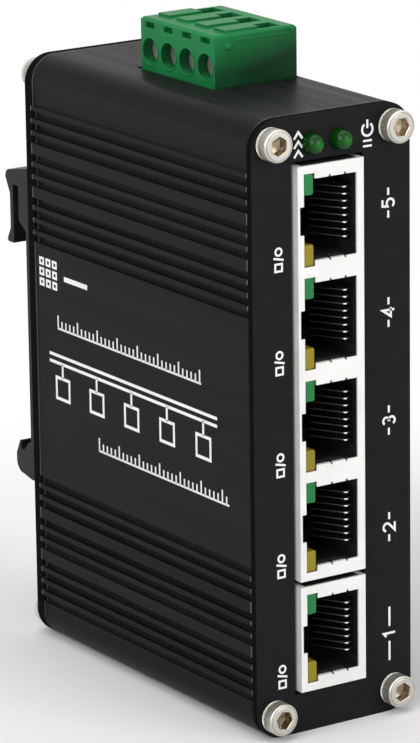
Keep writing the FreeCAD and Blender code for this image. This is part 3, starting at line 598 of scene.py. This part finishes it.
# %% Give every solid its finish
slot_finish = {
    "case_black": case_black, "plate_black": plate_black, "screw_steel": screw_steel,
    "shield_steel": shield_steel, "insert_black": insert_black, "contact_gold": contact_gold,
    "lamp_green": lamp_green, "lamp_yellow": lamp_yellow, "tinned_wire": tinned_wire,
    "board_green": board_green, "part_black": part_black, "can_metal": can_metal,
    "plug_green": plug_green, "spring_steel": spring_steel,
}
for entry in frame["record"]["subparts"]:
    solid = frame["nodes"][entry["node"]]
    solid.data.materials.clear()
    solid.data.materials.append(slot_finish[entry["material_slot"]])
frame["nodes"]["rail_clip"].data.materials[0] = clip_black

# %% [markdown]
# ## Cap screws
# A socket head screw is one turned surface. Its radius is a table: one row for each height
# along the screw, one column for each step round it. Knurling takes a small triangle wave off
# the radius round the head, and the socket's six flats come from a hexagon's radius, which is
# the flat's distance over the cosine of the angle from the flat's middle.

# %% Corner screws
def hexagon_radius(flat, angle):
    """The radius of a hexagon at an angle, from the distance of its flats."""
    from_flat = (angle % (np.pi / 3)) - np.pi / 6
    return flat / np.cos(from_flat)


def cap_screw(place, outward, knurls=46, head_radius=2.5 * MM, head=2.55 * MM,
              shank_radius=1.5 * MM, shank=10.0 * MM, flat=1.25 * MM, socket=1.7 * MM, turn=0.0):
    """Returns (points, faces) of the screw. turn sets the hexagon round by that many degrees."""
    steps = knurls * 4
    angle = np.linspace(0, 2 * np.pi, steps, endpoint=False)
    wave = np.abs((angle * knurls / (2 * np.pi)) % 1 - 0.5) * 2
    cut = 0.26 * MM
    rim = 0.16 * MM
    rows = [(0, -shank), (shank_radius * 0.85, -shank), (shank_radius, -shank + 0.3 * MM),
            (shank_radius, 0), (head_radius - 0.15 * MM, 0), (head_radius, 0.12 * MM)]
    radius = [np.full(steps, r) for r, _ in rows]
    along = [a for _, a in rows]
    for a, share in ((0.25 * MM, 1.0), (head - 0.50 * MM, 1.0), (head - 0.42 * MM, 0.0)):
        radius.append(head_radius - cut * wave * share)
        along.append(a)
    for inward, down in ((0.0, rim + 0.12 * MM), (0.10 * MM, 0.12 * MM), (0.22 * MM, 0.10 * MM),
                         (0.27 * MM, 0.22 * MM), (0.33 * MM, 0.20 * MM), (0.36 * MM, 0.06 * MM),
                         (0.46 * MM, 0.0)):
        radius.append(np.full(steps, head_radius - inward))
        along.append(head - down)
    hexagon = hexagon_radius(flat, angle + math.radians(turn))
    for r, a in ((hexagon + 0.10 * MM, head), (hexagon, head - 0.14 * MM),
                 (hexagon, head - socket), (np.zeros(steps), head - socket - 0.35 * MM)):
        radius.append(r)
        along.append(a)
    return turned(np.array(radius), along, place, outward)


def screw_piece(name, place, outward, node, **sizes):
    """One screw as a piece that stands for its solid, with a darker finish in its socket."""
    piece = make_piece(name, [cap_screw(place, outward, **sizes)], screw_steel, "root",
                       sharp=28.0)
    piece.data.materials.append(socket_steel)
    centre = np.array([p.center for p in piece.data.polygons])
    reach = np.hypot(centre[:, 0] - place[0], centre[:, 2] - place[2])
    depth = outward * (centre[:, 1] - place[1])
    inside = (reach < sizes.get("flat", 1.25 * MM) * 1.16) & (depth > 0.2 * MM)
    piece.data.polygons.foreach_set("material_index", inside.astype(np.int32))
    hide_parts(node)


def screw_places(node, radius):
    """The middles of four screws in a rectangle, from the corners of their solids' box."""
    low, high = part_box(node)
    return [(x, z) for z in (low.z + radius, high.z - radius)
            for x in (low.x + radius, high.x - radius)]


solid_head_radius = 2.75 * MM
hexagon_turns = (12, 40, 33, 2)
for node, y, outward in (("front_screws", front_y, -1), ("rear_screws", rear_y, 1)):
    places = screw_places(node, solid_head_radius)
    for number, ((x, z), degrees) in enumerate(zip(places, hexagon_turns), 1):
        screw_piece(f"{node[:-1]}_{number}", (x, y, z), outward, node, turn=degrees)

clip_low, clip_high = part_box("clip_screws")
clip_head_radius = (clip_high.x - clip_low.x) / 2
clip_head = 1.5 * MM
clip_seat = clip_high.y - clip_head
clip_heights = (clip_low.z + clip_head_radius, clip_high.z - clip_head_radius)
for number, z in enumerate(clip_heights, 1):
    screw_piece(f"clip_screw_{number}", (0.0, clip_seat, z), 1, "clip_screws", knurls=40,
                head_radius=clip_head_radius, head=clip_head, shank_radius=1.25 * MM,
                shank=clip_seat - clip_low.y, flat=0.75 * MM, socket=0.8 * MM)
print("screws", 2 * len(hexagon_turns) + len(clip_heights))

# %% [markdown]
# ## Sprung contacts
# Each contact is a flat wire: it rises from its pad, runs under the socket, folds back at the
# mouth and slants into the socket. The path is the same for all, so one is swept and the rest
# are copies of its points, moved along the row. The outline has small chamfers, so that the
# fold gleams.

# %% Contacts
contact_count = 8
contact_pitch = 1.08 * MM
contact_width = 0.26 * MM
contact_thickness = 0.25 * MM


def contact_path():
    """The middle line of one contact in X and Y, from its pad to its free end."""
    low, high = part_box("uplink_contacts")
    half = contact_thickness / 2
    run_x = high.x - 1.0 * MM
    corners = [(high.x - half, high.y), (run_x, high.y - 1.0 * MM), (run_x, low.y + 1.0 * MM),
               (run_x - 1.5 * MM, low.y + 0.15 * MM), (low.x + half, low.y + 5.4 * MM)]
    return rounded([(x, y, 0.0) for x, y in corners], 0.42 * MM, steps=6)


def contacts(node, name, middles):
    """All the contacts of some sockets, as one piece."""
    half_w, half_t, cut = contact_width / 2, contact_thickness / 2, 0.04 * MM
    outline = [(-half_t, -half_w + cut), (-half_t + cut, -half_w), (half_t - cut, -half_w),
               (half_t, -half_w + cut), (half_t, half_w - cut), (half_t - cut, half_w),
               (-half_t + cut, half_w), (-half_t, half_w - cut)]
    points, faces = sweep(outline, contact_path(), (0, 0, 1))
    parts = []
    for middle in middles:
        for k in range(contact_count):
            from_middle = (k - (contact_count - 1) / 2) * contact_pitch
            shift = np.array([0.0, 0.0, middle + from_middle])
            parts.append((points + shift, faces))
    piece = make_piece(name, parts, contact_gold, "root", sharp=50.0)
    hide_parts(node)


contacts("uplink_contacts", "uplink_contact_row", port_middles[:1])
contacts("port_bank_contacts", "bank_contact_rows", port_middles[1:])
print("contacts", contact_count * len(port_middles))

# %% [markdown]
# ## Domed lamps
# A lamp is a straight cylinder with a round tip, turned about its own axis. Its finish is
# deep green at the rim and lighter in the middle, where the light from inside the plastic
# gathers, so the colour follows the distance from a point behind the tip.

# %% Lamps above the sockets
def lamp_finish(name, places):
    """Tinted clear plastic with painted light: paler round each of some places, where light inside
    the plastic gathers. The mask falls smoothly from 0.8 at 0.1 mm from a place to 0 at 1.2 mm,
    with distances along Y counted as a quarter."""
    material = finish(name, (0.001, 0.030, 0.001), (0.001, 0.045, 0.002), (0.05, 0.08),
                      scale=1200.0, bump=0.02, radius=0.00005, IOR=1.3)
    tree = material.node_tree
    place = surface_place(tree)
    for centre in places:
        moved = add_node(tree, "ShaderNodeVectorMath", {0: place, 1: centre}, operation="SUBTRACT")
        flat = add_node(tree, "ShaderNodeVectorMath", {0: moved.outputs[0], 1: (1.0, 0.25, 1.0)},
                        operation="MULTIPLY")
        away = add_node(tree, "ShaderNodeVectorMath", {0: flat.outputs[0]}, operation="LENGTH")
        painted_light_core = map_range(tree, away.outputs["Value"], 0.1 * MM, 1.2 * MM, 0.8, 0.0,
                         interpolation_type="SMOOTHSTEP")
        lay_over(material, painted_light_core, (0.004, 0.20, 0.005))
    return material


def domed_lamp(name, node, material, wider=1.04, longer=0.35 * MM):
    """A lamp as a turned surface: a cylinder, then a quarter circle to the tip. It is a little
    wider and longer than its solid."""
    low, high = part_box(node)
    radius = (high.x - low.x) / 2 * wider
    length = high.y - low.y + longer
    t = np.linspace(0, np.pi / 2, 14)
    profile = [(0.0, 0.0), (radius * 0.96, 0.0), (radius, 0.06 * MM), (radius, length - radius)]
    profile += [(radius * math.cos(a), length - radius + radius * math.sin(a)) for a in t[1:]]
    radii, heights = zip(*profile)
    place = ((low.x + high.x) / 2, high.y, (low.z + high.z) / 2)
    shape = turned(round_rows(radii, 48), heights, place, -1)
    piece = make_piece(name, [shape], material, "root")
    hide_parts(node)


lamp_tips = []
for node in ("speed_lamp", "power_lamp"):
    low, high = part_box(node)
    lamp_tips.append(((low.x + high.x) / 2, low.y + 1.2 * MM, (low.z + high.z) / 2))
dome_green = lamp_finish("dome_green", lamp_tips)
domed_lamp("speed_dome", "speed_lamp", dome_green)
domed_lamp("power_dome", "power_lamp", dome_green)
print("domes at, mm", [[round(v * 1000, 2) for v in tip] for tip in lamp_tips])

# %% [markdown]
# ## Lamps in the socket corners
# Behind each socket's two left corners sits the square end of a light pipe. It is moulded with
# soft edges, which is why it looks like a small glass brick. The brick is a rounded rectangle
# carried backwards: over its first rows it grows to full size along a quarter circle.

# %% Light pipes
def rounded_rectangle(half_x, half_z, corner, steps=5):
    """A quarter circle at each corner, joined by straight sides: points as (x, z)."""
    angle = np.radians(np.linspace(0, 90, steps))
    points = []
    for k, (sx, sz) in enumerate(((1, 1), (-1, 1), (-1, -1), (1, -1))):
        a = angle + k * np.pi / 2
        points.append(np.stack([sx * (half_x - corner) + corner * np.cos(a),
                                sz * (half_z - corner) + corner * np.sin(a)], axis=1))
    return np.concatenate(points)


def light_pipe(x0, x1, z0, z1, front, back, corner=0.35 * MM, edge=0.28 * MM):
    """Rows of a rounded rectangle: edge - edge * sin smaller on each side at the depth
    edge - edge * cos, for an angle from 0 to 90 degrees, then straight to the back."""
    middle = np.array([(x0 + x1) / 2, 0.0, (z0 + z1) / 2])
    rows = []
    for a in np.radians(np.linspace(0, 90, 6)):
        less = edge - edge * math.sin(a)
        flat = rounded_rectangle((x1 - x0) / 2 - less, (z1 - z0) / 2 - less,
                                 max(corner - less, 0.05 * MM))
        y = np.full(len(flat), front + edge - edge * math.cos(a))
        rows.append(np.stack([flat[:, 0], y, flat[:, 1]], axis=1) + middle)
    rows.append(rows[-1] * [1, 0, 1] + [0, back, 0])
    return np.concatenate(rows), capped(len(rows), len(rows[0]))


for node, material, slot in (("link_lamps", lamp_green, "lamp_green"),
                             ("activity_lamps", lamp_yellow, "lamp_yellow")):
    low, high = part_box(node)
    bottom, top = low.z - port_middles[0], high.z - port_middles[-1]
    bricks = [light_pipe(low.x, high.x + 0.2 * MM, z + bottom, z + top,
                         bank_low.y + 0.12 * MM, high.y) for z in port_middles]
    piece = make_piece(node.replace("lamps", "light_pipes"), bricks, material, "root",
                       sharp=50.0)
    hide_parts(node)
print("light pipes", 2 * len(port_middles))

# %% [markdown]
# ## Screw terminals
# The plug's case is one moulding. Round each screwdriver hole it has a thin raised rim, and on
# the end stand a small round key, a fine ridge and a lug. The rims are turned surfaces, laid
# flat on the plug's side.

# %% Rims and the key of the plug
def ring_on_side(place, inner, outer, high):
    """A ring that stands on a face looking along -X: its section is a half round from the
    inner to the outer radius, high above the face. It is turned about Y, and then X and Y
    change places."""
    t = np.linspace(0, np.pi, 9)
    middle, half = (inner + outer) / 2, (outer - inner) / 2
    radius = np.concatenate([[inner], middle - half * np.cos(t), [outer]])
    height = np.concatenate([[-0.05 * MM], high * np.sin(t), [-0.05 * MM]])
    steps = 48
    points, _ = turned(round_rows(radius, steps), height, (0, 0, 0), -1)
    points = points[:, [1, 0, 2]] + place
    closed = np.concatenate([points, points[:steps]])
    return closed, grid_faces(len(radius) + 1, steps).tolist()


plug_low, plug_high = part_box("plug_body")
first_low, first_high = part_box("plug_screw_1")
last_low, last_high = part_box("plug_screw_4")
poles = 4
screw_z = (first_low.z + first_high.z) / 2
pole_first = (first_low.y + first_high.y) / 2
pole_pitch = ((last_low.y + last_high.y) / 2 - pole_first) / (poles - 1)
pole_middles = [pole_first + k * pole_pitch for k in range(poles)]
print("terminal middles, mm", [round(y * 1000, 2) for y in pole_middles])


def bar_on_end(x0, x1, z, half, high):
    """A low ridge along X on the plug's end, half round in section: half wide, high proud."""
    t = np.linspace(0, np.pi, 7)
    outline = np.stack([-half * np.cos(t), -high * np.sin(t)], axis=1)
    outline = np.concatenate([outline, [[half, 0.1 * MM], [-half, 0.1 * MM]]])
    rows = [np.stack([np.full(len(outline), x), plug_low.y + outline[:, 1], z + outline[:, 0]],
                     axis=1) for x in (x0, x1)]
    return np.concatenate(rows), capped(2, len(outline))


hole_radius = 2.0 * MM
rim_width = 0.32 * MM
rims = [ring_on_side((plug_low.x, y, screw_z), hole_radius, hole_radius + rim_width, 0.10 * MM)
        for y in pole_middles]
make_piece("screw_hole_rims", rims, plug_green, "terminal_plug")

knob_radius = np.array([0.0, 0.35, 0.5, 0.58, 0.6, 0.6]) * MM
knob_height = np.array([0.34, 0.33, 0.28, 0.18, 0.08, -0.1]) * MM
knob_x = plug_low.x + 2.5 * MM
knob_z = plug_high.z - 2.35 * MM
knob = turned(round_rows(knob_radius, 24), knob_height, (knob_x, plug_low.y, knob_z), -1)
deck_line = bar_on_end(plug_low.x + 4.2 * MM, plug_high.x - 1.1 * MM, plug_high.z - 1.5 * MM,
                       0.12 * MM, 0.10 * MM)
end_clip = bar_on_end(plug_high.x - 1.0 * MM, plug_high.x - 0.6 * MM, plug_high.z - 1.25 * MM,
                      0.55 * MM, 0.22 * MM)
make_piece("plug_end_key", [knob, deck_line, end_clip], plug_green, "terminal_plug")
print("rims", len(rims))

# %% [markdown]
# ## Printed marks
# The case is screen printed in white, with plain marks. The front has a number beside each
# socket and small signs by the lamps. The side has a grid of squares, two ruled scales and a
# line drawing of a bus with five drops. Each mark is drawn as strokes, the way a pen plotter
# would: a flat strip carried along a path and laid just proud of the surface, like ink.

# %% Strokes
INK = 0.03 * MM


def stroke(path, width, place, right, up, closed=False):
    """A strip of ink along a flat path. The path's two coordinates are counted along right and
    up from place, and the ink stands on both sides of the surface, INK thick in all."""
    right, up = np.asarray(right, float), np.asarray(up, float)
    flat = np.asarray(path, float) * MM
    line = np.asarray(place, float) + flat[:, :1] * right + flat[:, 1:] * up
    half = width * MM / 2
    outline = [(-half, -INK), (half, -INK), (half, INK), (-half, INK)]
    return sweep(outline, line, np.cross(right, up), closed)


def arc(middle, radius, start, end, steps=24):
    """Points of a circle's arc: middle + radius times the cosine and sine of the angle."""
    angle = np.radians(np.linspace(start, end, steps))
    return np.stack([middle[0] + radius * np.cos(angle), middle[1] + radius * np.sin(angle)],
                    axis=1)


DIGITS = {
    1: [[(0.12, 0.78), (0.38, 1.0), (0.38, 0.0)]],
    2: [np.concatenate([arc((0.32, 0.70), 0.30, 165, -35, 14), [(0.04, 0.0), (0.66, 0.0)]])],
    3: [np.concatenate([arc((0.30, 0.74), 0.26, 150, -80, 14),
                        arc((0.30, 0.26), 0.28, 80, -150, 14)])],
    4: [[(0.50, 0.0), (0.50, 1.0), (0.02, 0.30), (0.68, 0.30)]],
    5: [np.concatenate([[(0.58, 1.0), (0.12, 1.0), (0.07, 0.55)],
                        arc((0.30, 0.32), 0.31, 125, -145, 16)])],
}


def upright(path, height, shift):
    """Turns a path a quarter turn, so that it reads from the bottom up: (x, y) to (-y, x)."""
    path = np.asarray(path, float) * height
    return np.stack([-path[:, 1] + shift[0], path[:, 0] + shift[1]], axis=1)


bold, fine = 0.36, 0.32
marks = []


def front_mark(path, width, x, z, closed=False):
    """A stroke on the front plate, about the point x, z. Widths and paths are in millimetres."""
    marks.append(stroke(path, width, (x, front_y, z), (1, 0, 0), (0, 0, 1), closed))


def upright_digit(number, x, z, height=2.1):
    """A number that reads from the bottom up, its middle at x, z."""
    for path in DIGITS[number]:
        front_mark(upright(path, height, (height / 2, -0.34 * height)), bold, x, z)


def port_sign(x, z):
    """A circle, a slanted stroke and a square, one under the other."""
    front_mark(arc((0, 1.2), 0.55, 0, 330, 18), fine, x, z, closed=True)
    front_mark([(-0.9, 0.3), (0.9, -0.1)], fine, x, z)
    front_mark([(-0.6, -0.65), (0.6, -0.65), (0.6, -1.75), (-0.6, -1.75)], fine, x, z, closed=True)


label_x = bank_high.x + 5.2 * MM
sign_x = bank_low.x - 2.8 * MM
label_shifts = (-2.5, -2.9, -1.8, -0.7, 0.4)
for number, (z, shift) in enumerate(zip(port_middles, label_shifts), 1):
    label_z = z + shift * MM
    reach = 4.3 if number == 1 else 2.3
    upright_digit(number, label_x, label_z)
    for side in (-1, 1):
        front_mark([(0, side * 1.2), (0, side * reach)], bold, label_x, label_z)
    port_sign(sign_x, z - 5.45 * MM)

speed_tip, power_tip = lamp_tips
lamp_z = speed_tip[2]
speed_sign_x = speed_tip[0] - 2.25 * MM
power_sign_x = power_tip[0] + 5.1 * MM
for step in (-1.4, 0.0, 1.4):
    front_mark([(-0.75, step - 0.5), (0, step + 0.5), (0.75, step - 0.5)], bold, speed_sign_x,
               lamp_z)
front_mark(arc((0, 0.7), 0.95, 125, 415, 26), bold, power_sign_x, lamp_z)
front_mark([(0, 0.9), (0, 2.2)], bold, power_sign_x, lamp_z)
for step in (-1.0, -1.8):
    front_mark([(-0.8, step), (0.8, step)], fine, power_sign_x, lamp_z)
make_piece("front_print", marks, ink_white, "root", sharp=20.0)
print("strokes on the front", len(marks))

# %% The print on the side
shell_low, shell_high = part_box("side_shell")
panel_x = shell_low.x + 0.2 * MM
panel_middle_z = (shell_low.z + shell_high.z) / 2
panel_marks = []


def side_mark(path, width, closed=False):
    """A stroke on the left side, in millimetres forward from the back and up from mid height."""
    place = (panel_x, rear_low.y, panel_middle_z)
    panel_marks.append(stroke(path, width, place, (0, -1, 0), (0, 0, 1), closed))


def ruled_scale(start, end, z, pitch=1.15, tick=1.3, tall=2.1, width=0.34):
    """A scale like a ruler's: a base line with upright ticks, every fifth one taller."""
    side_mark([(start, z), (end, z)], width)
    for k, y in enumerate(np.arange(start + width / 2, end, pitch)):
        side_mark([(y, z), (y, z + (tick if k % 5 else tall))], width)


def box_mark(y1, y2, z1, z2, width):
    """The outline of a rectangle from corner y1, z1 to corner y2, z2."""
    side_mark([(y1, z1), (y2, z1), (y2, z2), (y1, z2)], width, closed=True)


for row in range(3):
    for column in range(3):
        y, z = 2.0 + column * 1.9, 11.9 + row * 1.7
        box_mark(y - 0.5, y + 0.5, z - 0.45, z + 0.45, 0.4)
side_mark([(8.6, 13.6), (15.4, 13.6)], 0.8)
ruled_scale(6.4, 47.2, 5.2)
ruled_scale(17.9, 54.4, -12.2)
bus_line = 0.5
for z in (0.7, -0.5):
    side_mark([(3.8, z), (51.4, z)], bus_line)
for k in range(5):
    y = 7.6 + k * 10.0
    side_mark([(y, -0.5), (y, -2.9)], bus_line)
    box_mark(y - 1.9, y + 1.9, -2.9, -6.3, bus_line)
make_piece("side_print", panel_marks, ink_white, "root", sharp=20.0)
print("strokes on the side", len(panel_marks))

# %% [markdown]
# ## Stage, light and camera
# The stage is one wide pale bowl: flat under the object, and rising slowly far out, so that no
# camera looks at its back and none sees an edge. Near the object the camera sees the paper
# itself, with the soft shadow on it. Further out, and in the world above the bowl, it sees
# plain white, so that the paper fades into an even background. Three large soft lamps stand
# round the object.

# %% Stage
bowl_flat, bowl_reach = 1.8, 4.0


def stage_bowl():
    """Points over reach and angle: x = r cos a, y = r sin a, and a height of nothing up to
    bowl_flat, then a quarter of the square of the distance past it. One flat face fills the
    pole."""
    around = 64
    reach = np.array([0.2, 0.6, 1.2, bowl_flat, 2.1, 2.5, 3.0, 3.5, bowl_reach])[:, None]
    angle = np.linspace(0, 2 * np.pi, around, endpoint=False)[None, :]
    height = 0.25 * np.maximum(reach - bowl_flat, 0.0) ** 2 * np.ones_like(angle)
    points = np.stack([reach * np.cos(angle), reach * np.sin(angle), height], axis=-1)
    upward = grid_faces(len(reach), around)[:, ::-1]
    faces = upward.tolist() + [list(range(around))]
    mesh = bpy.data.meshes.new("stage_bowl")
    mesh.from_pydata(points.reshape(-1, 3).tolist(), [], faces)
    bowl = add_object("stage_bowl", mesh)
    mesh.polygons.foreach_set("use_smooth", np.ones(len(mesh.polygons), dtype=bool))
    return bowl


def seen_rays(tree):
    """1 for camera rays and for what metal and clear plastic mirror or pass, otherwise 0."""
    ray = add_node(tree, "ShaderNodeLightPath").outputs
    straight = math_node(tree, "MAXIMUM", ray["Is Camera Ray"], ray["Is Glossy Ray"])
    return math_node(tree, "MAXIMUM", straight, ray["Is Transmission Ray"])


def stage_paper():
    """Matt paper. For camera rays, and in what metal and clear plastic mirror, it turns to plain
    white between near and far from the object: the factor is a smooth step of the distance from
    the origin."""
    near, far = 0.06, 0.16
    material = bpy.data.materials.new("stage_paper")
    material.use_nodes = True
    tree = material.node_tree
    shader = tree.nodes["Principled BSDF"]
    shader.inputs["Base Color"].default_value = (0.94, 0.94, 0.94, 1.0)
    shader.inputs["Roughness"].default_value = 0.9
    shader.inputs["Specular IOR Level"].default_value = 0.1
    white = add_node(tree, "ShaderNodeEmission", {"Color": (1.0, 1.0, 1.0, 1.0), "Strength": 1.0})
    away = add_node(tree, "ShaderNodeVectorMath", {0: surface_place(tree)}, operation="LENGTH")
    fade = map_range(tree, away.outputs["Value"], near, far, interpolation_type="SMOOTHSTEP")
    seen = math_node(tree, "MULTIPLY", seen_rays(tree), fade)
    mix = add_node(tree, "ShaderNodeMixShader", {0: seen, 1: shader.outputs[0],
                                                 2: white.outputs[0]})
    tree.links.new(mix.outputs[0], tree.nodes["Material Output"].inputs["Surface"])
    return material


bowl = stage_bowl()
bowl.data.materials.append(stage_paper())
print("stage reaches, m", bowl_reach)

# %% Light and camera
def soft_lamp(name, place, size, power):
    """A rectangular soft lamp aimed at the middle of the object."""
    light = bpy.data.lights.new(name, "AREA")
    light.shape = "RECTANGLE"
    light.size, light.size_y = size
    light.energy = power
    lamp = add_object(name, light)
    lamp.location = place
    aim = Vector((0, 0, 0.05)) - Vector(place)
    lamp.rotation_euler = aim.to_track_quat("-Z", "Y").to_euler()


soft_lamp("lamp_left", (-0.9, -0.5, 0.55), (0.9, 0.9), 7.6)
soft_lamp("lamp_front", (0.35, -1.0, 0.45), (0.7, 0.9), 4.4)
soft_lamp("lamp_top", (-0.1, 0.1, 1.1), (1.2, 1.2), 6.6)
world = bpy.data.worlds.new("studio")
world.use_nodes = True
tree = world.node_tree
dim = tree.nodes["Background"]
dim.inputs["Color"].default_value = (1.0, 1.0, 1.0, 1.0)
dim.inputs["Strength"].default_value = 0.26
white = add_node(tree, "ShaderNodeBackground", {"Color": (1.0, 1.0, 1.0, 1.0), "Strength": 1.0})
sky = add_node(tree, "ShaderNodeMixShader", {0: seen_rays(tree), 1: dim.outputs[0],
                                             2: white.outputs[0]})
tree.links.new(sky.outputs[0], tree.nodes["World Output"].inputs["Surface"])
bpy.context.scene.world = world
bpy.context.scene.view_settings.view_transform = "Standard"

view_yaw, view_pitch, view_roll = np.radians([33.515, 15.365, -0.802])
camera_data = bpy.data.cameras.new("camera")
camera_data.sensor_fit = "VERTICAL"
camera_data.sensor_height = 36.0
camera_data.lens = 216.1
camera_data.clip_start = 0.01
camera = add_object("camera", camera_data)
camera_place = Vector((-0.3695, -0.5584, 0.2323))
right = Vector((math.cos(view_yaw), -math.sin(view_yaw), 0.0))
ahead = Vector((math.sin(view_yaw) * math.cos(view_pitch),
                math.cos(view_yaw) * math.cos(view_pitch), -math.sin(view_pitch)))
up = right.cross(ahead)
rolled_right = math.cos(view_roll) * right + math.sin(view_roll) * up
rolled_up = math.cos(view_roll) * up - math.sin(view_roll) * right
turn = Matrix((rolled_right, rolled_up, -ahead)).transposed().to_4x4()
camera.matrix_world = Matrix.Translation(camera_place) @ turn
bpy.context.scene.camera = camera
print("camera at, m", [round(v, 4) for v in camera_place])
